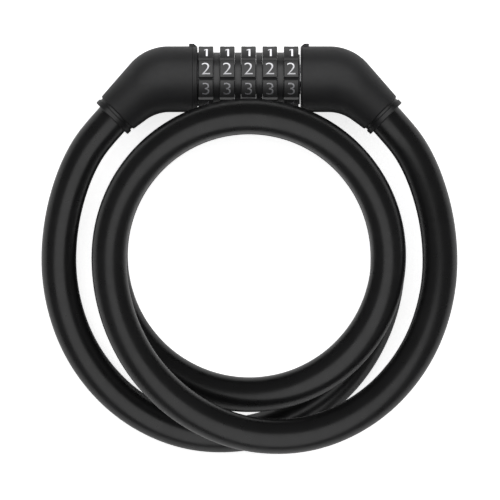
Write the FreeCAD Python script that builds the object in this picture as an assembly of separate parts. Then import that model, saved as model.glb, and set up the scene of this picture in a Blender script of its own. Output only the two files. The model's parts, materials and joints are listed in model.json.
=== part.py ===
import FreeCAD, Part
import math
import os

from FreeCAD import Vector

# Combination cable lock with five number dials, lying on its coiled cable.
# Millimetres. +X runs along the dials' axis towards the plug, +Y points from the coil to the
# index marks, +Z points up from the surface that the coil lies on.
# The pieces are built about the dials' axis and moved at the end, so that the origin is the
# middle of the lock head.

# Head
HEAD_RADIUS = 11.3
CASE_RING_WIDTH = 1.7         # the end ring on the left
PLUG_RING_WIDTH = 0.7         # the end ring on the right
END_RING_SEAM = 0.16          # bevel between an end ring and its elbow
END_RING_CHAMFER = 0.25
CASE_RING_GROOVE = 0.16       # width and depth

# Elbows, each tapering from the end ring to the mouth that the cable leaves by
ELBOW_REACH = 27.5            # along the dials' axis, from the end ring's face to the mouth
ELBOW_DROP = 11.6             # from the dials' axis to the middle of the mouth
MOUTH_WALL = 1.8              # around the cable
MOUTH_FILLET = 0.6
CABLE_ANGLE = 45.0            # between the dials' axis and the cable at the mouth
BACK_SLOPE = 49.0             # of the elbow's outer edge beyond its bend
BELLY_SLOPE = 36.0            # of its inner edge beyond the bend
BACK_BEND = 17.3
BELLY_BEND = 13.7
BEND_SECTIONS = 6

# Collar at each mouth; its walls are measured from the cable
COLLAR_NECK_WALL = 1.2
COLLAR_NECK_LENGTH = 0.8
COLLAR_LIP_WALL = 1.65
COLLAR_LIP_LENGTH = 1.9
COLLAR_LIP_CHAMFER = 0.25
COLLAR_SPIGOT_WALL = 0.8
COLLAR_SPIGOT_LENGTH = 3.0

# Index marks beside the first and the last dial
MARK_LENGTH = 2.6
MARK_WIDTH = 1.5
MARK_HEIGHT = 0.9
MARK_SEAT = 0.6
MARK_SLOPE_LENGTH = 1.0
MARK_TOE_HEIGHT = 0.1         # above the head, at the slope's foot
MARK_SETBACK = 0.3

# Dials and the spacers between them
DIAL_COUNT = 5
DIGITS = 10
DIAL_WIDTH = 5.05
SPACER_WIDTH = 2.15
SPACER_RADIUS = 9.2
SPACER_KEY_WIDTH = 1.2
SPACER_KEY_DEPTH = 0.7
PAD_GROOVE_WIDTH = 1.25
PAD_GROOVE_DEPTH = 0.6
DIAL_CHAMFER = 0.2
DIAL_START_GAP = 0.4          # between the left end ring and the first dial
DIAL_END_GAP = 0.7            # between the last dial and the right end ring

# Locking bolt
BOLT_RADIUS = 3.82
BOLT_ROOT_RADIUS = 4.6
BOLT_TIP_REACH = 1.4          # of the tip past the left end ring's face
BOLT_TIP_CHAMFER = 1.2
FIN_WIDTH = 2.3
FIN_THICKNESS = 1.6
FIN_HEIGHT = 1.4              # above the core tube
FIN_INSET = 0.5               # from a code ring's left face to its fin

# Core tube, and the flanges that hold it and the bolt in their elbows
TUBE_WALL = 1.3
TUBE_BORE_SPARE = 1.3         # beyond the bolt's tip
ANCHOR_DEPTH = 9.2            # from an end ring's face to the far side of the flange
ANCHOR_WIDTH = 2.0
ANCHOR_HEIGHT = 1.8
STACK_WASHER_WIDTH = 0.3
STACK_CLIP_WIDTH = 0.4
STACK_CLIP_LAP = 0.15         # over the last dial's bore
STACK_CLIP_SEAT = 0.4

# Code rings inside the dials
CODE_RING_WALL = 1.45         # round the pocket that its fin stands in
CODE_RING_KEY_WIDTH = 1.6
CODE_RING_KEY_HEIGHT = 0.7
GATE_FLANGE_WIDTH = 2.4

# Clearances
TURN_FIT = 0.07               # radial, between pieces that turn on each other
BOLT_FIT = 0.08               # radial, between the bolt and the core tube
SLIDE_FIT = 0.15              # beside the fins
FIN_FIT = 0.35                # above the fins
SEAT_FIT = 0.05               # between pieces that are held together
SIDE_PLAY = 0.05              # beside each dial
CABLE_FIT = 0.10              # radial, between the cable and its bore
STRAND_GAP = 0.6              # between the head and the strands that cross it
CROSSING_GAP = 1.4            # in plan, between the strands at the bottom

# Cable
CABLE_DIAMETER = 12.0
CABLE_END_DEPTH = 11.0        # straight length inside the elbow
FERRULE_RADIUS = 4.2
FERRULE_LENGTH = 7.0
STRAND_DROP = 12.8            # in plan, from the dials' axis to the strands that cross the head
INNER_TURN_RADIUS = 47.7
SWEEP_SPREAD = 17.5           # from the inner turn to the widest point of the outer sweeps
OUTER_SWEEP_FLARE = 2.0       # degrees, outward, where the sweep is widest
CROSSING_DRAW = 12.0          # degrees, inward, where the sweeps cross
SWEEP_FALL = 6.3              # height lost by the widest point of the sweep
SWEEP_FALL_ANGLE = 8.5
CLIMB_START = 1.2             # height gained a quarter turn after the top
CLIMB_START_ANGLE = 3.0
CLIMB_MIDDLE_ANGLE = 14.0
COIL_FLAT = 0.5               # depth of the flat that the coil stands on

# Building the shapes
OVERCUT = 1.0                 # of a cutting shape past the surface that it cuts
CLOSE_ENOUGH = 0.01           # between an edge and the place where it is looked for
LENGTH_STEP = 2.5             # between the points that the cable's gap is measured on

# Sizes that follow
CABLE_RADIUS = CABLE_DIAMETER / 2
MOUTH_RADIUS = CABLE_RADIUS + MOUTH_WALL
COLLAR_REACH = COLLAR_NECK_LENGTH + COLLAR_LIP_LENGTH
DIAL_PITCH = DIAL_WIDTH + SPACER_WIDTH + 2 * SIDE_PLAY
DIAL_STACK_LENGTH = (DIAL_COUNT - 1) * DIAL_PITCH + DIAL_WIDTH
RING_FACE_X = (DIAL_START_GAP + DIAL_STACK_LENGTH + DIAL_END_GAP) / 2
DIAL_STACK_X = DIAL_START_GAP - RING_FACE_X
DIAL_STACK_END_X = DIAL_STACK_X + DIAL_STACK_LENGTH
ANCHOR_X = RING_FACE_X + ANCHOR_DEPTH
TUBE_BORE = BOLT_RADIUS + BOLT_FIT
TUBE_RADIUS = TUBE_BORE + TUBE_WALL
ANCHOR_RADIUS = TUBE_RADIUS + ANCHOR_HEIGHT
FIN_REACH = TUBE_RADIUS + FIN_HEIGHT
GATE_WIDTH = FIN_WIDTH + 2 * SLIDE_FIT
POCKET_RADIUS = FIN_REACH + FIN_FIT
CODE_RING_RADIUS = POCKET_RADIUS + CODE_RING_WALL
DIAL_BORE = CODE_RING_RADIUS + SEAT_FIT
STACK_CLIP_RADIUS = DIAL_BORE + STACK_CLIP_LAP
COIL_DROP = STRAND_DROP + INNER_TURN_RADIUS
CROSSING_RADIUS = INNER_TURN_RADIUS + CABLE_DIAMETER + CROSSING_GAP
OUTER_SWEEP_RADIUS = INNER_TURN_RADIUS + SWEEP_SPREAD
STRAND_REACH = HEAD_RADIUS + CABLE_RADIUS + STRAND_GAP
STRAND_HEIGHT = math.sqrt(STRAND_REACH ** 2 - STRAND_DROP ** 2)
TABLE_Z = COIL_FLAT - STRAND_HEIGHT - CABLE_RADIUS

ORIGIN = Vector(0, 0, 0)
ALONG = Vector(1, 0, 0)
ACROSS = Vector(0, 1, 0)
UP = Vector(0, 0, 1)


def cylinder(radius, start_x, end_x):
    return Part.makeCylinder(radius, end_x - start_x, Vector(start_x, 0, 0), ALONG)


def ring(outer, inner, start_x, end_x):
    return cylinder(outer, start_x, end_x).cut(cylinder(inner, start_x - OVERCUT, end_x + OVERCUT))


def bar(start_x, end_x, bottom_y, top_y, width):
    """A block along the dials' axis, centred on it from front to back."""
    corner = Vector(start_x, bottom_y, -width / 2)
    return Part.makeBox(end_x - start_x, top_y - bottom_y, width, corner)


def chamfered_ring(outer, inner, start_x, end_x, start_chamfer, end_chamfer):
    """A ring whose two outer edges are chamfered, turned from its section."""
    points = [
        Vector(start_x, inner, 0),
        Vector(start_x, outer - start_chamfer, 0),
        Vector(start_x + start_chamfer, outer, 0),
        Vector(end_x - end_chamfer, outer, 0),
        Vector(end_x, outer - end_chamfer, 0),
        Vector(end_x, inner, 0),
    ]
    section = Part.Face(Part.makePolygon(points + points[:1]))
    return section.revolve(ORIGIN, ALONG, 360)


def on_right_side(shape):
    return shape.mirror(ORIGIN, ALONG)


def mouth_point():
    return Vector(-RING_FACE_X - ELBOW_REACH, -ELBOW_DROP, 0)


def mouth_direction():
    """The way that the cable leaves the left mouth."""
    angle = math.radians(CABLE_ANGLE)
    return Vector(-math.cos(angle), -math.sin(angle), 0)


def along_mouth(distance):
    """A point on the left mouth's axis, positive outside the elbow."""
    return mouth_point() + mouth_direction() * distance


def mouth_cylinder(radius, start, end):
    return Part.makeCylinder(radius, end - start, along_mouth(start), mouth_direction())


def bent_edge(start, mouth_edge, slope, bend_radius):
    """One edge of the left elbow in plan, as points: along the head, round the bend, to the mouth."""
    turn = math.radians(slope)
    run = (start.y - mouth_edge.y) / math.tan(turn)
    corner = Vector(mouth_edge.x + run, start.y, 0)
    trim = bend_radius * math.tan(turn / 2)
    bend_start = corner + ALONG * trim
    bend_end = corner + Vector(-math.cos(turn), -math.sin(turn), 0) * trim
    centre = bend_start - ACROSS * bend_radius
    half = turn / 2
    middle = centre + Vector(-math.sin(half), math.cos(half), 0) * bend_radius
    bend = Part.Arc(bend_start, middle, bend_end).toShape()
    return [start] + bend.discretize(Number=BEND_SECTIONS) + [mouth_edge]


def circle_between(top, bottom):
    """An upright circle on two points of the plan, starting at the first."""
    chord = top - bottom
    placement = FreeCAD.Placement((top + bottom) * 0.5, FreeCAD.Rotation(chord, UP, chord.cross(UP), "XYZ"))
    circle = Part.Circle(ORIGIN, UP, chord.Length / 2).toShape()
    circle.Placement = placement
    return Part.Wire([circle])


def elbow_outside(ring_width):
    """A left elbow's outside: straight along the head, bent, and tapered straight to the mouth."""
    start_x = -RING_FACE_X - ring_width
    across = mouth_direction().cross(UP)
    back_end = mouth_point() + across * MOUTH_RADIUS
    belly_end = mouth_point() - across * MOUTH_RADIUS
    back = bent_edge(Vector(start_x, HEAD_RADIUS, 0), back_end, BACK_SLOPE, BACK_BEND)
    belly = bent_edge(Vector(start_x, -HEAD_RADIUS, 0), belly_end, BELLY_SLOPE, BELLY_BEND)
    circles = [circle_between(top, bottom) for top, bottom in zip(back, belly)]
    along_head = Part.makeLoft(circles[:2], True, True)
    bend = Part.makeLoft(circles[1:-1], True, False)
    taper = Part.makeLoft(circles[-2:], True, True)
    mouth_edges = [edge for edge in taper.Edges if is_mouth_edge(edge)]
    taper = taper.makeFillet(MOUTH_FILLET, mouth_edges)
    return along_head.fuse(bend).fuse(taper)


def is_mouth_edge(edge):
    if len(edge.Vertexes) > 1:
        return False
    distance = (edge.Vertexes[0].Point - mouth_point()).Length
    return abs(distance - MOUTH_RADIUS) < CLOSE_ENOUGH


def cable_cavity():
    """The left elbow's bore for the collar's spigot, the cable end and its ferrule."""
    outside = MOUTH_RADIUS
    spigot_radius = CABLE_RADIUS + COLLAR_SPIGOT_WALL + SEAT_FIT
    spigot = mouth_cylinder(spigot_radius, -COLLAR_SPIGOT_LENGTH - SEAT_FIT, outside)
    bore = mouth_cylinder(CABLE_RADIUS + CABLE_FIT, -CABLE_END_DEPTH, outside)
    back = -CABLE_END_DEPTH - FERRULE_LENGTH - SEAT_FIT
    ferrule = mouth_cylinder(FERRULE_RADIUS + SEAT_FIT, back, -CABLE_END_DEPTH)
    return spigot.fuse(bore).fuse(ferrule)


def mark_block(spare):
    """The space of the left index mark, with some spare room all round."""
    end_x = -RING_FACE_X - MARK_SETBACK + spare
    start_x = end_x - MARK_LENGTH - 2 * spare
    bottom = HEAD_RADIUS - MARK_SEAT - spare
    top = HEAD_RADIUS + MARK_HEIGHT + spare
    return bar(start_x, end_x, bottom, top, MARK_WIDTH + 2 * spare)


def index_mark():
    """A raised bar let into the elbow and its end ring, sloped towards the dials."""
    end_x = -RING_FACE_X - MARK_SETBACK
    top = HEAD_RADIUS + MARK_HEIGHT
    depth = MARK_WIDTH / 2
    points = [
        Vector(end_x - MARK_SLOPE_LENGTH, top, -depth),
        Vector(end_x, top, -depth),
        Vector(end_x, HEAD_RADIUS + MARK_TOE_HEIGHT, -depth),
    ]
    wedge = Part.Face(Part.makePolygon(points + points[:1])).extrude(UP * MARK_WIDTH)
    return mark_block(0).cut(wedge)


def end_ring(width):
    """The ring between a left elbow and the dials."""
    start_x = -RING_FACE_X - width
    bore = TUBE_RADIUS + SEAT_FIT
    body = chamfered_ring(HEAD_RADIUS, bore, start_x, -RING_FACE_X, END_RING_SEAM, END_RING_CHAMFER)
    return body.cut(mark_block(SEAT_FIT))


def case_ring():
    """The left end ring, with a fine groove round its middle."""
    middle_x = -RING_FACE_X - CASE_RING_WIDTH / 2
    groove = ring(
        HEAD_RADIUS + OVERCUT,
        HEAD_RADIUS - CASE_RING_GROOVE,
        middle_x - CASE_RING_GROOVE / 2,
        middle_x + CASE_RING_GROOVE / 2,
    )
    return end_ring(CASE_RING_WIDTH).cut(groove)


def collar():
    """The left collar: a neck and a lip outside the mouth and a spigot inside it."""
    neck = mouth_cylinder(CABLE_RADIUS + COLLAR_NECK_WALL, 0, COLLAR_REACH)
    lip = mouth_cylinder(CABLE_RADIUS + COLLAR_LIP_WALL, COLLAR_NECK_LENGTH, COLLAR_REACH)
    lip = lip.makeChamfer(COLLAR_LIP_CHAMFER, [edge for edge in lip.Edges if len(edge.Vertexes) == 1])
    spigot = mouth_cylinder(CABLE_RADIUS + COLLAR_SPIGOT_WALL, -COLLAR_SPIGOT_LENGTH, COLLAR_REACH)
    bore_start = -COLLAR_SPIGOT_LENGTH - OVERCUT
    bore = mouth_cylinder(CABLE_RADIUS + 2 * CABLE_FIT, bore_start, COLLAR_REACH + OVERCUT)
    return neck.fuse(lip).fuse(spigot).cut(bore).removeSplitter()


def ferrule():
    """The crimped sleeve on the cable's end, inside the left elbow."""
    return mouth_cylinder(FERRULE_RADIUS, -CABLE_END_DEPTH - FERRULE_LENGTH, -CABLE_END_DEPTH)


def anchor_cavity(radius):
    """An elbow's room for what it holds on the dials' axis: a round stem and its flange."""
    stem = cylinder(radius + SEAT_FIT, -ANCHOR_X - SEAT_FIT, -RING_FACE_X)
    flange_end_x = ANCHOR_WIDTH + SEAT_FIT - ANCHOR_X
    flange = cylinder(ANCHOR_RADIUS + SEAT_FIT, -ANCHOR_X - SEAT_FIT, flange_end_x)
    return stem.fuse(flange)


def elbow(ring_width, anchor_radius):
    """A left elbow, hollow for the cable's end, its index mark and what it holds on the dials' axis."""
    body = elbow_outside(ring_width).cut(cable_cavity())
    return body.cut(mark_block(SEAT_FIT)).cut(anchor_cavity(anchor_radius))


def core_tube():
    """The slotted tube that carries the dials and receives the bolt."""
    end_x = RING_FACE_X - 2 * SIDE_PLAY
    body = cylinder(TUBE_RADIUS, -ANCHOR_X, end_x)
    anchor = cylinder(ANCHOR_RADIUS, -ANCHOR_X, ANCHOR_WIDTH - ANCHOR_X)
    past_end_x = end_x + OVERCUT
    past_wall = TUBE_RADIUS + OVERCUT
    bore = cylinder(TUBE_BORE, -RING_FACE_X - BOLT_TIP_REACH - TUBE_BORE_SPARE, past_end_x)
    slot = bar(DIAL_STACK_X, past_end_x, 0, past_wall, GATE_WIDTH)
    keyway_floor = SPACER_KEY_DEPTH + SEAT_FIT - TUBE_RADIUS
    keyway = bar(DIAL_STACK_X, past_end_x, -past_wall, keyway_floor, SPACER_KEY_WIDTH + 2 * SEAT_FIT)
    clip_seat = stack_clip_ring(past_wall, SEAT_FIT)
    return body.fuse(anchor).cut(bore).cut(slot).cut(keyway).cut(clip_seat)


def fin_gate():
    """The way for the fins through everything round the core tube."""
    return bar(-RING_FACE_X, RING_FACE_X, 0, POCKET_RADIUS, GATE_WIDTH)


def dial_start(number):
    return DIAL_STACK_X + (number - 1) * DIAL_PITCH


def pad_angle(step):
    """The middle of a pad, turned about +X from +Y; pad 0 faces the index marks."""
    return step * 360.0 / DIGITS


def pad_groove(start_x, end_x):
    """The V-shaped groove between two pads, on the side of the index marks."""
    floor = HEAD_RADIUS - PAD_GROOVE_DEPTH
    height = PAD_GROOVE_DEPTH + OVERCUT
    half_width = PAD_GROOVE_WIDTH / 2 * height / PAD_GROOVE_DEPTH
    points = [
        Vector(start_x, floor, 0),
        Vector(start_x, floor + height, half_width),
        Vector(start_x, floor + height, -half_width),
    ]
    return Part.Face(Part.makePolygon(points + points[:1])).extrude(ALONG * (end_x - start_x))


def dial(number):
    """A number dial: ten pads parted by V-grooves, and a bore keyed to its code ring."""
    start_x = dial_start(number)
    end_x = start_x + DIAL_WIDTH
    body = chamfered_ring(HEAD_RADIUS, DIAL_BORE, start_x, end_x, DIAL_CHAMFER, DIAL_CHAMFER)
    keyway_reach = DIAL_BORE + CODE_RING_KEY_HEIGHT
    keyway_width = CODE_RING_KEY_WIDTH + 2 * SEAT_FIT
    for step in range(DIGITS):
        groove = pad_groove(start_x - OVERCUT, end_x + OVERCUT)
        groove.rotate(ORIGIN, ALONG, pad_angle(step + 0.5))
        body = body.cut(groove)
    for step in range(0, DIGITS, 2):
        keyway = bar(start_x - OVERCUT, end_x + OVERCUT, 0, keyway_reach, keyway_width)
        keyway.rotate(ORIGIN, ALONG, pad_angle(step))
        body = body.cut(keyway)
    return body


def code_ring(number):
    """The ring keyed inside a dial, whose gated flange holds or frees one fin."""
    start_x = dial_start(number)
    end_x = start_x + DIAL_WIDTH
    body = cylinder(CODE_RING_RADIUS, start_x, end_x)
    for step in range(0, DIGITS, 2):
        reach = CODE_RING_RADIUS + CODE_RING_KEY_HEIGHT
        key = bar(start_x, end_x, 0, reach, CODE_RING_KEY_WIDTH)
        key.rotate(ORIGIN, ALONG, pad_angle(step))
        body = body.fuse(key)
    pocket = cylinder(POCKET_RADIUS, start_x - OVERCUT, end_x - GATE_FLANGE_WIDTH)
    bore = cylinder(TUBE_RADIUS + TURN_FIT, start_x - OVERCUT, end_x + OVERCUT)
    return body.cut(pocket).cut(bore).cut(fin_gate())


def spacer(number):
    """The fixed ring between two dials, keyed to the core tube on the side away from the fins."""
    start_x = dial_start(number) + DIAL_WIDTH + SIDE_PLAY
    end_x = start_x + SPACER_WIDTH
    body = ring(SPACER_RADIUS, TUBE_RADIUS + SEAT_FIT, start_x, end_x).cut(fin_gate())
    key = bar(start_x, end_x, -TUBE_RADIUS - OVERCUT, SPACER_KEY_DEPTH - TUBE_RADIUS, SPACER_KEY_WIDTH)
    return body.fuse(key)


def stack_washer():
    """The thin washer between the left end ring and the first dial."""
    end_x = DIAL_STACK_X - SIDE_PLAY
    return ring(SPACER_RADIUS, TUBE_RADIUS + SEAT_FIT, end_x - STACK_WASHER_WIDTH, end_x)


def stack_clip_ring(outer, spare):
    """The space of the stack clip between its seat in the core tube and a given radius."""
    start_x = DIAL_STACK_END_X + SIDE_PLAY
    inner = TUBE_RADIUS - STACK_CLIP_SEAT
    return ring(outer, inner, start_x - spare, start_x + STACK_CLIP_WIDTH + spare)


def stack_clip():
    """The open clip in a groove at the tube's end that keeps the dials on."""
    body = stack_clip_ring(STACK_CLIP_RADIUS, 0)
    opening = bar(DIAL_STACK_END_X, RING_FACE_X, 0, STACK_CLIP_RADIUS + OVERCUT, GATE_WIDTH)
    return body.cut(opening)


def locking_bolt():
    """The plug's bolt: a pin with a fin for each dial and an anchor flange in the right elbow."""
    tip_x = -RING_FACE_X - BOLT_TIP_REACH
    pin = cylinder(BOLT_RADIUS, tip_x, ANCHOR_X)
    tip_edges = [edge for edge in pin.Edges if edge.BoundBox.XMax < tip_x + CLOSE_ENOUGH]
    pin = pin.makeChamfer(BOLT_TIP_CHAMFER, tip_edges)
    root = cylinder(BOLT_ROOT_RADIUS, RING_FACE_X + SEAT_FIT, ANCHOR_X)
    anchor = cylinder(ANCHOR_RADIUS, ANCHOR_X - ANCHOR_WIDTH, ANCHOR_X)
    body = pin.fuse(root).fuse(anchor)
    for number in range(1, DIAL_COUNT + 1):
        start_x = dial_start(number) + FIN_INSET
        body = body.fuse(bar(start_x, start_x + FIN_THICKNESS, 0, FIN_REACH, FIN_WIDTH))
    return body.removeSplitter()


def station(angle, radius, inward, height, climb):
    """A point of the cable and its direction, by its angle round the coil seen from above."""
    turn = math.radians(angle)
    outward = Vector(math.cos(turn), math.sin(turn), 0)
    forward = Vector(-math.sin(turn), math.cos(turn), 0)
    point = outward * radius + Vector(0, -COIL_DROP, height)
    lean = math.radians(inward)
    rise = math.radians(climb)
    level = forward * math.cos(lean) - outward * math.sin(lean)
    return point, level * math.cos(rise) + UP * math.sin(rise)


def turned_over(stop):
    """The stop on the other half of the cable, which is the first half turned over about +Y."""
    point, way = stop
    return Vector(-point.x, point.y, -point.z), Vector(way.x, -way.y, way.z)


def cable_stops():
    """The stops of the whole cable, a quarter turn apart, from the left collar to the right."""
    first = [
        (along_mouth(COLLAR_REACH), mouth_direction()),
        station(180, OUTER_SWEEP_RADIUS, -OUTER_SWEEP_FLARE, -SWEEP_FALL, -SWEEP_FALL_ANGLE),
        station(270, CROSSING_RADIUS, CROSSING_DRAW, -STRAND_HEIGHT, 0),
        station(360, INNER_TURN_RADIUS, 0, -STRAND_HEIGHT, 0),
        station(450, INNER_TURN_RADIUS, 0, -STRAND_HEIGHT, 0),
        station(540, INNER_TURN_RADIUS, 0, CLIMB_START - STRAND_HEIGHT, CLIMB_START_ANGLE),
    ]
    middle = station(630, INNER_TURN_RADIUS, 0, 0, CLIMB_MIDDLE_ANGLE)
    return first + [middle] + [turned_over(stop) for stop in reversed(first)]


def arc_between(start, corner, end):
    """The arc from start to end that is tangent to both lines through the corner."""
    middle = (start + end) * 0.5
    half_chord = (end - start).Length / 2
    height = (corner - middle).Length
    half_turn = math.atan2(height, half_chord)
    sagitta = half_chord * math.tan(half_turn / 2)
    crown = middle + (corner - middle).normalize() * sagitta
    return Part.Arc(start, crown, end).toShape()


def two_arcs(first_stop, second_stop):
    """Two tangent arcs that join two stops in space."""
    start, leaving = first_stop
    end, arriving = second_stop
    gap = end - start
    both = leaving + arriving
    spread = 2 * (1 - leaving.dot(arriving))
    drift = gap.dot(both)
    reach = (math.sqrt(drift * drift + spread * gap.dot(gap)) - drift) / spread
    first_corner = start + leaving * reach
    second_corner = end - arriving * reach
    joint = (first_corner + second_corner) * 0.5
    return [arc_between(start, first_corner, joint), arc_between(joint, second_corner, end)]


def path_between(stops):
    edges = []
    for first_stop, second_stop in zip(stops, stops[1:]):
        edges += two_arcs(first_stop, second_stop)
    return edges


def tube_along(edges, start, direction):
    """A round cable along one wire."""
    circle = Part.Circle(start, direction, CABLE_RADIUS)
    shell = Part.BRepOffsetAPI.MakePipeShell(Part.Wire(edges))
    shell.add(Part.Wire([circle.toShape()]))
    shell.build()
    shell.makeSolid()
    return shell.shape()


def flat_below():
    """The space under the surface that the coil stands on."""
    size = 4 * OUTER_SWEEP_RADIUS
    return Part.makeBox(size, size, size, Vector(-size / 2, -size / 2 - COIL_DROP, TABLE_Z - size))


def cable_pieces():
    """The cable's left lead, coil and right lead, with the edges that they follow."""
    stops = cable_stops()
    inner_end = along_mouth(-CABLE_END_DEPTH)
    straight = Part.LineSegment(inner_end, stops[0][0]).toShape()
    lead_edges = [straight] + path_between(stops[:3])
    coil_edges = path_between(stops[2:-2])
    lead = tube_along(lead_edges, inner_end, mouth_direction())
    coil = tube_along(coil_edges, *stops[2])
    other_lead = lead.copy()
    other_lead.rotate(ORIGIN, ACROSS, 180)
    report_cable(lead_edges, coil_edges, lead, coil)
    return lead.cut(flat_below()), coil.cut(flat_below()), other_lead


def points_along(edges, step):
    points = []
    for edge in edges:
        count = max(2, int(edge.Length / step) + 1)
        points += edge.discretize(Number=count)[:-1]
    return points


def least_gap(points, step):
    """The least gap between strands of the cable, on points along its middle line."""
    apart = int(3 * CABLE_DIAMETER / step)
    least = min(
        (second - first).Length
        for index, first in enumerate(points)
        for second in points[index + apart:]
    )
    return least - CABLE_DIAMETER


def report_cable(lead_edges, coil_edges, lead, coil):
    lead_points = points_along(lead_edges, LENGTH_STEP)
    far_points = [Vector(-p.x, p.y, -p.z) for p in reversed(lead_points)]
    points = lead_points + points_along(coil_edges, LENGTH_STEP) + far_points
    lead_length = sum(edge.Length for edge in lead_edges)
    coil_length = sum(edge.Length for edge in coil_edges)
    section = math.pi * CABLE_RADIUS ** 2
    radii = [edge.Curve.Radius for edge in lead_edges[1:] + coil_edges]
    print("cable length", round(2 * lead_length + coil_length, 1))
    print("lead length", round(lead_length, 1), "coil length", round(coil_length, 1))
    print("arc radii", [round(radius, 1) for radius in radii])
    print("least gap to itself", round(least_gap(points, LENGTH_STEP), 2))
    print("volume over section times length", round(lead.Volume / section / lead_length, 4),
          round(coil.Volume / section / coil_length, 4))


def head_middle():
    """The height, across the head, of the middle between the marks' tops and the collars' lips."""
    lip_edge = along_mouth(COLLAR_REACH - COLLAR_LIP_CHAMFER)
    lowest = lip_edge.y - (CABLE_RADIUS + COLLAR_LIP_WALL) * math.cos(math.radians(CABLE_ANGLE))
    return (HEAD_RADIUS + MARK_HEIGHT + lowest) / 2


def build():
    left_lead, coil, right_lead = cable_pieces()
    pieces = {
        "elbow_left": elbow(CASE_RING_WIDTH, TUBE_RADIUS),
        "end_ring_left": case_ring(),
        "index_mark_left": index_mark(),
        "cable_collar_left": collar(),
        "cable_ferrule_left": ferrule(),
        "core_tube": core_tube(),
        "stack_washer": stack_washer(),
        "stack_clip": stack_clip(),
        "elbow_right": on_right_side(elbow(PLUG_RING_WIDTH, BOLT_ROOT_RADIUS)),
        "end_ring_right": on_right_side(end_ring(PLUG_RING_WIDTH)),
        "index_mark_right": on_right_side(index_mark()),
        "cable_collar_right": on_right_side(collar()),
        "cable_ferrule_right": on_right_side(ferrule()),
        "locking_bolt": locking_bolt(),
        "cable_lead_left": left_lead,
        "cable_coil": coil,
        "cable_lead_right": right_lead,
    }
    for number in range(1, DIAL_COUNT + 1):
        pieces["dial_%d" % number] = dial(number)
        pieces["code_ring_%d" % number] = code_ring(number)
    for number in range(1, DIAL_COUNT):
        pieces["spacer_%d" % number] = spacer(number)
    return pieces


def write(pieces):
    os.makedirs("parts", exist_ok=True)
    for name, shape in pieces.items():
        shape.translate(Vector(0, -head_middle(), 0))
        shape.exportStep("parts/%s.step" % name)
        box = shape.BoundBox
        print(name, shape.ShapeType, len(shape.Solids), shape.isValid(), round(shape.Volume, 1),
              [round(value, 2) for value in (box.XMin, box.YMin, box.ZMin, box.XMax, box.YMax, box.ZMax)])


write(build())
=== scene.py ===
import json
import math

import bmesh
import bpy
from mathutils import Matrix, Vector


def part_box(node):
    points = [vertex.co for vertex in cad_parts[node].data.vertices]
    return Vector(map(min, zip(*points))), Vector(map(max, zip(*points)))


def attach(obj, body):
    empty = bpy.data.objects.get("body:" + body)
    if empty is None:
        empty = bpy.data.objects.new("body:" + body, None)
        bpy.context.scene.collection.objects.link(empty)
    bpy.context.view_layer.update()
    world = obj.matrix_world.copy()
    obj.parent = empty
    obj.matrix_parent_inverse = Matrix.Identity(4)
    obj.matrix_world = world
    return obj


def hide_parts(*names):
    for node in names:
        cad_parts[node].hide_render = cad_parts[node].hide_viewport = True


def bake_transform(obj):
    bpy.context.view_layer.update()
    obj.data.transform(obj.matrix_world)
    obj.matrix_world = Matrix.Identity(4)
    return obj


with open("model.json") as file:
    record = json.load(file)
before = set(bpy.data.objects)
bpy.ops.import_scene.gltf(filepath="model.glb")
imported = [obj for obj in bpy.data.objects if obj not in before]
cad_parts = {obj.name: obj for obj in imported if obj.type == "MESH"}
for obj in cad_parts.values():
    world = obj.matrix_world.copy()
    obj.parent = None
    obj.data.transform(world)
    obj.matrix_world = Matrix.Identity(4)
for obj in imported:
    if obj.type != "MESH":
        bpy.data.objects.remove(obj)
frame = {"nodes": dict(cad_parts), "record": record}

# Combination cable lock, coiled up and lying flat, seen from straight above.
# Metres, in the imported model's frame: +X along the dials' axis, +Y towards the index marks, +Z up.

# Photograph
PHOTO_SIDE = 500              # pixels
PIXEL = 0.000343              # metres to a pixel on the dials' axis
HEAD_COLUMN = 249.0           # of the head's middle, in pixels from the left
AXIS_ROW = 79.2               # of the dials' axis, in pixels from the top
CAMERA_HEIGHT = 3.0           # above the dials' axis
CAMERA_NEAR = 0.1
CAMERA_FAR = 10.0
SENSOR = 36.0                 # millimetres

# Cable; its stops are those of the CAD route, and angles are in degrees
CABLE_DIAMETER = 0.012
CABLE_RADIUS = CABLE_DIAMETER / 2
CABLE_END_LENGTH = 0.0137     # straight, from the end inside an elbow to its collar's outer face
COIL_DROP = 0.0605            # from the dials' axis to the coil's centre
COLLAR_X = 0.04708            # middle of a collar's outer face
COLLAR_DROP = 0.01351
CABLE_ANGLE = 45.0
INNER_TURN_RADIUS = 0.0477
CROSSING_RADIUS = 0.0611
OUTER_SWEEP_RADIUS = 0.0652
OUTER_SWEEP_FLARE = 2.0       # outward, where the sweep is widest
CROSSING_DRAW = 12.0          # inward, where the sweeps cross
SWEEP_FALL = 0.0063
SWEEP_FALL_ANGLE = 8.5
CLIMB_START = 0.0012
CLIMB_START_ANGLE = 3.0
CLIMB_MIDDLE_ANGLE = 14.0
ROUTE_STEP = 20.0             # between the route's control points
ROUTE_START = 150.0           # of the first control point after the collar
ROUTE_FINENESS = 12           # line points to a control point
SPLINE_ORDER = 3              # a quadratic spline's
OPPOSITE_SUM = 1260.0         # of the angles of two stops, one of which is the other turned over
TUBE_SIDES = 48

# Dials
DIGITS = 10
DIGIT_HEIGHT = 0.0042
DIGIT_WIDENING = 1.15         # times a digit's own width
DIGIT_THINNING = 0.012        # taken off each side of a stroke, as a share of the letter size
DIGIT_ROUNDING = 6            # points to a stretch of a curved stroke
DIGIT_RAISE = 0.00003         # proud of the dial
DIGIT_SEAT = 0.00010          # sunk in it
DIGIT_SLICE = 0.00025         # height of the level slices, which let a digit bend
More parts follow.
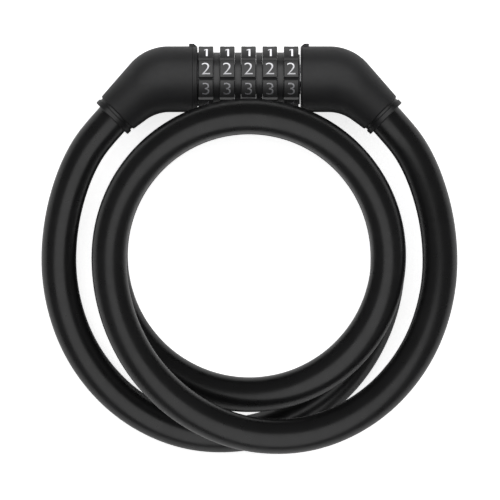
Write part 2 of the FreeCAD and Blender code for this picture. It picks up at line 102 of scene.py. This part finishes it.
# The outline of a plain 1, in heights of it
FLAGGED_ONE = [(0, 0), (0.13, 0), (0.13, 1), (0.02, 1), (-0.13, 0.87), (-0.13, 0.75), (0, 0.84)]
DIAL_NAMES = ["dial_1", "dial_2", "dial_3", "dial_4", "dial_5"]

# Materials
COOLNESS = 1.04               # how much bluer than grey the blacks and whites are
TONE_SPREAD = 0.12            # of a moulding's tone, to each side
ROUGH_SPREAD = 0.04           # of its roughness, likewise
METAL_SHADE = 0.85            # a metal's darkest tone, times its colour
METAL_ROUGH_SPREAD = 1.25     # its roughness lies between itself over this and times this
NOISE_LOW = 0.3               # nearly all of a noise lies between these
NOISE_HIGH = 0.7
ALONG_X = (0.05, 1, 1)        # draws a noise's spots out twentyfold along X

# Studio; a lamp's tilt is from straight up towards +Y, in degrees, and its power is in watts
FLOOR_HALF = 4.0
FLOOR_TONE = 0.9              # to whatever looks at the floor
FLOOR_BOUNCE = 0.3            # to what the floor lights
FLOOR_GLOW = 0.75             # seen by the camera only
FLOOR_ROUGHNESS = 0.9
ROOM_LIGHT = 0.12             # away from the lamps
# The photograph shows the head and the cable lit from opposite sides, and numbers that fade within
# a row, as under a low lamp; so each has a lamp of its own
HEAD_LAMP = dict(tilt=20.0, width=2.16, depth=2.16, power=22.5)
DIGIT_LAMP = dict(tilt=70.0, width=0.6, depth=0.6, power=16.0)
CABLE_LAMP = dict(tilt=-30.0, width=1.56, depth=2.1, power=9.8)
LAMP_DISTANCE = 1.2           # from the origin

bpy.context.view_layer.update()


def middle_of(node):
    low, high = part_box(node)
    return (low + high) / 2


AXIS_Y = middle_of("dial_1").y
DIAL_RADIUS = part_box("dial_1")[1].z
TABLE_Z = min(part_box("cable_coil")[0].z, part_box("cable_lead_left")[0].z)
STRAND_HEIGHT = -TABLE_Z - CABLE_RADIUS
COIL_CENTRE = Vector((0, AXIS_Y - COIL_DROP, 0))


def add(name, data):
    made = bpy.data.objects.new(name, data)
    bpy.context.scene.collection.objects.link(made)
    return made


def make_camera():
    data = bpy.data.cameras.new("camera")
    data.sensor_width = SENSOR
    data.lens = SENSOR * CAMERA_HEIGHT / (PHOTO_SIDE * PIXEL)
    data.clip_start = CAMERA_NEAR
    data.clip_end = CAMERA_FAR
    camera = add("camera", data)
    right = (PHOTO_SIDE / 2 - HEAD_COLUMN) * PIXEL
    down = (PHOTO_SIDE / 2 - AXIS_ROW) * PIXEL
    camera.location = (right, AXIS_Y - down, CAMERA_HEIGHT)
    bpy.context.scene.camera = camera


def collar(side):
    """The middle of a collar's outer face and the way that the cable leaves it; side is -1 or 1."""
    turn = math.radians(CABLE_ANGLE)
    point = Vector((side * COLLAR_X, AXIS_Y - COLLAR_DROP, 0))
    return point, Vector((side * math.cos(turn), -math.sin(turn), 0))


def polar(point):
    offset = point - COIL_CENTRE
    return math.degrees(math.atan2(offset.y, offset.x)), Vector((offset.x, offset.y)).length


def half_stops():
    """Angle, radius, outward lean, height and climb at the stops of the route's first half."""
    start_angle, start_radius = polar(collar(-1)[0])
    return [
        (start_angle, start_radius, 0, 0, 0),
        (180, OUTER_SWEEP_RADIUS, OUTER_SWEEP_FLARE, -SWEEP_FALL, -SWEEP_FALL_ANGLE),
        (270, CROSSING_RADIUS, -CROSSING_DRAW, -STRAND_HEIGHT, 0),
        (360, INNER_TURN_RADIUS, 0, -STRAND_HEIGHT, 0),
        (450, INNER_TURN_RADIUS, 0, -STRAND_HEIGHT, 0),
        (540, INNER_TURN_RADIUS, 0, CLIMB_START - STRAND_HEIGHT, CLIMB_START_ANGLE),
    ]


def all_stops():
    first = half_stops()
    middle = (630, INNER_TURN_RADIUS, 0, 0, CLIMB_MIDDLE_ANGLE)
    second = [
        (OPPOSITE_SUM - angle, radius, -lean, -height, climb)
        for angle, radius, lean, height, climb in reversed(first)
    ]
    return first + [middle] + second


def eased(start, start_slope, end, end_slope, share, span):
    """The value at a share of a span that leaves and arrives with the given slopes."""
    square = share * share
    cube = square * share
    value = start * (2 * cube - 3 * square + 1) + end * (3 * square - 2 * cube)
    return value + span * (start_slope * (cube - 2 * square + share) + end_slope * (cube - square))


def route_point(angle):
    """Radius and height of the cable's middle line, by its angle round the coil."""
    stops = all_stops()
    index = max(i for i, stop in enumerate(stops[:-1]) if stop[0] <= angle)
    start, end = stops[index], stops[index + 1]
    span = math.radians(end[0] - start[0])
    share = (angle - start[0]) / (end[0] - start[0])
    slopes = [
        (radius * math.tan(math.radians(lean)), radius * math.tan(math.radians(climb)))
        for _, radius, lean, _, climb in (start, end)
    ]
    radius = eased(start[1], slopes[0][0], end[1], slopes[1][0], share, span)
    height = eased(start[3], slopes[0][1], end[3], slopes[1][1], share, span)
    return radius, height


def route_points():
    """The control points of the whole cable, from inside the left elbow to inside the right one."""
    # Of a circle's radius, the share at which the spline passes the control points on that circle
    drawn_in = (3 + math.cos(math.radians(ROUTE_STEP))) / 4
    points = []
    angle = ROUTE_START
    while angle <= OPPOSITE_SUM - ROUTE_START:
        radius, height = route_point(angle)
        turn = math.radians(angle)
        outward = Vector((math.cos(turn), math.sin(turn), 0)) * (radius / drawn_in)
        points.append(COIL_CENTRE + outward + Vector((0, 0, height)))
        angle += ROUTE_STEP
    left, left_way = collar(-1)
    right, right_way = collar(1)
    first = [left - left_way * CABLE_END_LENGTH, left]
    last = [right, right - right_way * CABLE_END_LENGTH]
    return first + points + last


def smooth_line(points):
    """The points along a NURBS spline with these control points."""
    curve = bpy.data.curves.new("route", "CURVE")
    curve.dimensions = "3D"
    curve.resolution_u = ROUTE_FINENESS
    spline = curve.splines.new("NURBS")
    spline.points.add(len(points) - 1)
    for spline_point, point in zip(spline.points, points):
        spline_point.co = (*point, 1)
    spline.order_u = SPLINE_ORDER
    spline.use_endpoint_u = True
    route = bpy.data.objects.new("route", curve)
    mesh = bpy.data.meshes.new_from_object(route)
    line = [vertex.co.copy() for vertex in mesh.vertices]
    bpy.data.meshes.remove(mesh)
    bpy.data.objects.remove(route)
    bpy.data.curves.remove(curve)
    return line


def rings_along(line):
    """For each point of a line, the ways out to the sides of a round tube along it."""
    rings = []
    side = Vector((0, 0, 1))
    count = len(line)
    for index in range(count):
        before = line[max(index - 1, 0)]
        after = line[min(index + 1, count - 1)]
        way = (after - before).normalized()
        side = (side - way * side.dot(way)).normalized()
        other = way.cross(side)
        turns = [2 * math.pi * step / TUBE_SIDES for step in range(TUBE_SIDES)]
        rings.append([side * math.cos(turn) + other * math.sin(turn) for turn in turns])
    return rings


def tube(name, line, rings, radius):
    """A round tube, closed at its ends, whose surface is shaded as truly round."""
    vertices = [point + way * radius for point, ring in zip(line, rings) for way in ring]
    normals = [way for ring in rings for way in ring]
    faces = []
    count = len(line)
    for index in range(count - 1):
        for step in range(TUBE_SIDES):
            here = index * TUBE_SIDES + step
            beside = index * TUBE_SIDES + (step + 1) % TUBE_SIDES
            faces.append((here, beside, beside + TUBE_SIDES, here + TUBE_SIDES))
    faces.append(tuple(range(TUBE_SIDES - 1, -1, -1)))
    faces.append(tuple(range((count - 1) * TUBE_SIDES, count * TUBE_SIDES)))
    mesh = bpy.data.meshes.new(name)
    mesh.from_pydata(vertices, [], faces)
    mesh.shade_smooth()
    mesh.normals_split_custom_set_from_vertices(normals)
    return add(name, mesh)


def split_index(line):
    """Where the line last passes the bottom of the coil, on its way to the right elbow."""
    passes = [
        index
        for index in range(1, len(line))
        if line[index - 1].x < 0 <= line[index].x and line[index].y < COIL_CENTRE.y
    ]
    return passes[-1]


def make_cable(sheath):
    line = smooth_line(route_points())
    rings = rings_along(line)
    split = split_index(line)
    main = tube("cable_main", line[:split + 1], rings[:split + 1], CABLE_RADIUS)
    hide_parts("cable_lead_left", "cable_coil")
    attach(main, "case")
    lead = tube("cable_right_lead", line[split:], rings[split:], CABLE_RADIUS)
    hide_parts("cable_lead_right")
    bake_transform(lead)
    for piece in (main, lead):
        piece.data.materials.append(sheath)
    return [main, lead]


# Materials

class Shader:
    """A new material's nodes, with short ways to add and join them."""

    def __init__(self, name):
        self.material = bpy.data.materials.new(name)
        self.material.use_nodes = True
        self.tree = self.material.node_tree
        self.surface = self.tree.nodes["Principled BSDF"]
        self.place = self.add("ShaderNodeTexCoord").outputs["Object"]

    def add(self, kind, **settings):
        node = self.tree.nodes.new(kind)
        for key, value in settings.items():
            setattr(node, key, value)
        return node

    def join(self, source, target):
        self.tree.links.new(source, target)

    def set(self, **values):
        for key, value in values.items():
            self.surface.inputs[key.replace("_", " ")].default_value = value

    def noise(self, size, detail, stretch=(1, 1, 1)):
        """Noise whose spots are about that size, in metres."""
        spread = self.add("ShaderNodeMapping")
        spread.inputs["Scale"].default_value = [share / size for share in stretch]
        self.join(self.place, spread.inputs["Vector"])
        noise = self.add("ShaderNodeTexNoise")
        noise.inputs["Scale"].default_value = 1
        noise.inputs["Detail"].default_value = detail
        self.join(spread.outputs["Vector"], noise.inputs["Vector"])
        return noise.outputs["Fac"]

    def ranged(self, value, low, high):
        scale = self.add("ShaderNodeMapRange")
        scale.inputs["From Min"].default_value = NOISE_LOW
        scale.inputs["From Max"].default_value = NOISE_HIGH
        scale.inputs["To Min"].default_value = low
        scale.inputs["To Max"].default_value = high
        self.join(value, scale.inputs["Value"])
        return scale.outputs["Result"]

    def colour(self, value, dark, light):
        """A colour between two, by the value."""
        mix = self.add("ShaderNodeMix", data_type="RGBA")
        mix.inputs["A"].default_value = (*dark, 1)
        mix.inputs["B"].default_value = (*light, 1)
        self.join(self.ranged(value, 0, 1), mix.inputs["Factor"])
        self.join(mix.outputs["Result"], self.surface.inputs["Base Color"])

    def roughness(self, value, low, high):
        self.join(self.ranged(value, low, high), self.surface.inputs["Roughness"])

    def bump(self, value, depth):
        """Adds a bump of that depth, in metres, to those that the surface has."""
        bump = self.add("ShaderNodeBump")
        bump.inputs["Strength"].default_value = 1
        bump.inputs["Distance"].default_value = depth
        self.join(value, bump.inputs["Height"])
        if self.surface.inputs["Normal"].is_linked:
            self.join(self.surface.inputs["Normal"].links[0].from_socket, bump.inputs["Normal"])
        self.join(bump.outputs["Normal"], self.surface.inputs["Normal"])


def grey(value):
    return (value, value, value * COOLNESS)


def sheath_material():
    """Smooth satin vinyl with slow changes of gloss and a barely uneven surface."""
    shader = Shader("cable sheath")
    shader.colour(shader.noise(size=0.012, detail=3), dark=grey(0.010), light=grey(0.014))
    shader.roughness(shader.noise(size=0.004, detail=4), low=0.26, high=0.34)
    shader.bump(shader.noise(size=0.006, detail=2), depth=0.00003)
    shader.bump(shader.noise(size=0.0004, detail=3), depth=0.000002)
    shader.set(IOR=1.46)
    return shader.material


def moulding_material(name, tone, rough, grain, shine=0.5):
    """Black moulded plastic with a fine even grain of that depth."""
    shader = Shader(name)
    dark = grey(tone * (1 - TONE_SPREAD))
    light = grey(tone * (1 + TONE_SPREAD))
    shader.colour(shader.noise(size=0.009, detail=4), dark, light)
    shader.roughness(shader.noise(size=0.002, detail=4), rough - ROUGH_SPREAD, rough + ROUGH_SPREAD)
    shader.bump(shader.noise(size=0.00022, detail=4), depth=grain)
    shader.set(Specular_IOR_Level=shine)
    return shader.material


def elbow_material():
    """Soft-touch black, with a very fine grain and a faint bloom."""
    shader = Shader("soft touch black")
    shader.colour(shader.noise(size=0.011, detail=5), dark=grey(0.012), light=grey(0.017))
    shader.roughness(shader.noise(size=0.0015, detail=4), low=0.45, high=0.52)
    shader.bump(shader.noise(size=0.00018, detail=4), depth=0.000008)
    shader.set(Sheen_Weight=0.01, Sheen_Roughness=0.5, Specular_IOR_Level=0.27)
    return shader.material


def metal_material(name, colour, rough):
    """Metal whose fine marks run along X."""
    shader = Shader(name)
    dark = [value * METAL_SHADE for value in colour]
    shader.colour(shader.noise(size=0.0006, detail=3, stretch=ALONG_X), dark, light=colour)
    gloss = shader.noise(size=0.0003, detail=4, stretch=ALONG_X)
    shader.roughness(gloss, low=rough / METAL_ROUGH_SPREAD, high=rough * METAL_ROUGH_SPREAD)
    shader.bump(shader.noise(size=0.00025, detail=3, stretch=ALONG_X), depth=0.000004)
    shader.set(Metallic=1.0)
    return shader.material


def ink_material():
    """White ink, a little uneven."""
    shader = Shader("digit ink")
    shader.colour(shader.noise(size=0.0006, detail=3), dark=grey(0.84), light=grey(0.92))
    shader.roughness(shader.noise(size=0.0004, detail=3), low=0.42, high=0.55)
    shader.bump(shader.noise(size=0.0002, detail=2), depth=0.000004)
    return shader.material


SLOT_MATERIALS = {
    "elbow": elbow_material(),
    "end_ring": moulding_material("end ring black", tone=0.013, rough=0.42, grain=0.000002, shine=0.28),
    "index_mark": moulding_material(
        "index mark black", tone=0.013, rough=0.42, grain=0.000003, shine=0.28),
    "collar": moulding_material("collar black", tone=0.009, rough=0.36, grain=0.000002, shine=0.3),
    "spacer": moulding_material("spacer black", tone=0.016, rough=0.38, grain=0.000003),
    "dial": moulding_material("dial black", tone=0.014, rough=0.38, grain=0.000004),
    "code_ring": metal_material("ring brass", colour=(0.72, 0.52, 0.24), rough=0.32),
    "core_metal": metal_material("tube steel", colour=(0.55, 0.55, 0.56), rough=0.3),
    "thin_steel": metal_material("spring steel", colour=(0.06, 0.06, 0.062), rough=0.4),
    "bolt_steel": metal_material("bolt chrome", colour=(0.68, 0.68, 0.7), rough=0.12),
    "cable_sheath": sheath_material(),
}


def dress_nodes():
    slots = {entry["node"]: entry["material_slot"] for entry in frame["record"]["subparts"]}
    for name, node in frame["nodes"].items():
        for slot in node.material_slots:
            slot.material = SLOT_MATERIALS[slots[name]]


# Digits

def one_mesh():
    """A plain 1: a stem with a short flag at its upper left."""
    half = (DIGIT_RAISE + DIGIT_SEAT) / 2
    count = len(FLAGGED_ONE)
    vertices = [(x, y, level) for level in (-half, half) for x, y in FLAGGED_ONE]
    faces = [tuple(range(count - 1, -1, -1)), tuple(range(count, 2 * count))]
    for here in range(count):
        beside = (here + 1) % count
        faces.append((here, beside, beside + count, here + count))
    mesh = bpy.data.meshes.new("digit")
    mesh.from_pydata(vertices, [], faces)
    return mesh


def font_mesh(number):
    text = bpy.data.curves.new("digit", "FONT")
    text.body = str(number)
    text.align_x = "CENTER"
    text.extrude = (DIGIT_RAISE + DIGIT_SEAT) / 2
    text.offset = -DIGIT_THINNING
    text.resolution_u = DIGIT_ROUNDING
    holder = bpy.data.objects.new("digit", text)
    bpy.context.scene.collection.objects.link(holder)
    bpy.context.view_layer.update()
    mesh = bpy.data.meshes.new_from_object(holder)
    bpy.data.objects.remove(holder)
    bpy.data.curves.remove(text)
    return mesh


def sliced(mesh):
    """A digit at its size, round the origin, its height along Y, cut into thin level slices."""
    work = bmesh.new()
    work.from_mesh(mesh)
    bpy.data.meshes.remove(mesh)
    heights = [vertex.co.y for vertex in work.verts]
    widths = [vertex.co.x for vertex in work.verts]
    low, high = min(heights), max(heights)
    scale = DIGIT_HEIGHT / (high - low)
    middle = Vector(((min(widths) + max(widths)) / 2, (low + high) / 2, 0))
    for vertex in work.verts:
        flat = (vertex.co - middle) * scale
        vertex.co = (flat.x * DIGIT_WIDENING, flat.y, vertex.co.z)
    level = -DIGIT_HEIGHT / 2 + DIGIT_SLICE
    while level < DIGIT_HEIGHT / 2:
        everything = work.verts[:] + work.edges[:] + work.faces[:]
        bmesh.ops.bisect_plane(work, geom=everything, plane_co=(0, level, 0), plane_no=(0, 1, 0))
        level += DIGIT_SLICE
    return work


def make_digits(ink):
    """Ten digits round each dial, on a cylinder that stands a little proud of it."""
    vertices = []
    faces = []
    radius = DIAL_RADIUS + (DIGIT_RAISE - DIGIT_SEAT) / 2
    for number in range(DIGITS):
        work = sliced(one_mesh() if number == 1 else font_mesh(number))
        work.verts.index_update()
        start = len(vertices)
        for vertex in work.verts:
            turn = 2 * math.pi * number / DIGITS - vertex.co.y / radius
            reach = radius + vertex.co.z
            place = (vertex.co.x, math.cos(turn) * reach, math.sin(turn) * reach)
            vertices.append(Vector(place))
        faces += [[start + vertex.index for vertex in face.verts] for face in work.faces]
        work.free()
    made = []
    for name in DIAL_NAMES:
        centre = middle_of(name)
        mesh = bpy.data.meshes.new(name + "_digits")
        mesh.from_pydata([vertex + centre for vertex in vertices], [], faces)
        mesh.materials.append(ink)
        digits = add(name + "_digits", mesh)
        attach(digits, name.replace("dial_", "dial_unit_"))
        made.append(digits)
    return made


# Studio

def ray_is(tree, *kinds):
    """A node output that is 1 for a ray of any of these kinds, and 0 for the others."""
    path = tree.nodes.new("ShaderNodeLightPath")
    found = path.outputs[kinds[0]]
    for kind in kinds[1:]:
        either = tree.nodes.new("ShaderNodeMath")
        either.operation = "MAXIMUM"
        tree.links.new(found, either.inputs[0])
        tree.links.new(path.outputs[kind], either.inputs[1])
        found = either.outputs["Value"]
    return found


def floor_material():
    """White paper to look at, but darker to diffuse light, so that it throws little up at the lock."""
    shader = Shader("floor")
    shader.set(Roughness=FLOOR_ROUGHNESS, Specular_IOR_Level=0, Emission_Color=(1, 1, 1, 1))
    tone = shader.add("ShaderNodeMix", data_type="RGBA")
    tone.inputs["A"].default_value = (*grey(FLOOR_BOUNCE), 1)
    tone.inputs["B"].default_value = (FLOOR_TONE, FLOOR_TONE, FLOOR_TONE, 1)
    seen = ray_is(shader.tree, "Is Camera Ray", "Is Glossy Ray", "Is Transmission Ray")
    shader.join(seen, tone.inputs["Factor"])
    shader.join(tone.outputs["Result"], shader.surface.inputs["Base Color"])
    glow = shader.add("ShaderNodeMath", operation="MULTIPLY")
    glow.inputs[1].default_value = FLOOR_GLOW
    shader.join(ray_is(shader.tree, "Is Camera Ray"), glow.inputs[0])
    shader.join(glow.outputs["Value"], shader.surface.inputs["Emission Strength"])
    return shader.material


def make_floor():
    corners = [(-1, -1), (1, -1), (1, 1), (-1, 1)]
    mesh = bpy.data.meshes.new("floor")
    places = [(x * FLOOR_HALF, y * FLOOR_HALF, TABLE_Z) for x, y in corners]
    mesh.from_pydata(places, [], [(0, 1, 2, 3)])
    mesh.materials.append(floor_material())
    floor = add("floor", mesh)
    return floor


def make_world():
    """A dim room, which looks plain white to the camera and through glass."""
    world = bpy.data.worlds.new("studio")
    bpy.context.scene.world = world
    world.use_nodes = True
    tree = world.node_tree
    background = tree.nodes["Background"]
    background.inputs["Color"].default_value = (1, 1, 1, 1)
    mix = tree.nodes.new("ShaderNodeMix")
    mix.inputs["A"].default_value = ROOM_LIGHT
    mix.inputs["B"].default_value = 1
    tree.links.new(ray_is(tree, "Is Camera Ray", "Is Transmission Ray"), mix.inputs["Factor"])
    tree.links.new(mix.outputs["Result"], background.inputs["Strength"])


def make_lamp(name, tilt, width, depth, power, unlit):
    """An oval soft lamp that lights everything but the unlit pieces."""
    data = bpy.data.lights.new(name, "AREA")
    data.shape = "ELLIPSE"
    data.size = width
    data.size_y = depth
    data.energy = power
    lamp = add(name, data)
    turn = math.radians(tilt)
    lamp.rotation_euler = (-turn, 0, 0)
    lamp.location = Vector((0, math.sin(turn), math.cos(turn))) * LAMP_DISTANCE
    lamp.visible_camera = False
    left_out = bpy.data.collections.new(name + " leaves out")
    for piece in unlit:
        left_out.objects.link(piece)
    lamp.light_linking.receiver_collection = left_out
    for entry in left_out.collection_objects:
        entry.light_linking.link_state = "EXCLUDE"


bpy.context.scene.view_settings.view_transform = "Standard"
make_camera()
cable = make_cable(SLOT_MATERIALS["cable_sheath"])
dress_nodes()
digits = make_digits(ink_material())
floor = make_floor()
make_world()
nodes = list(frame["nodes"].values())
make_lamp("head lamp", **HEAD_LAMP, unlit=cable + digits)
make_lamp("digit lamp", **DIGIT_LAMP, unlit=nodes + cable + [floor])
make_lamp("cable lamp", **CABLE_LAMP, unlit=nodes + digits + [floor])
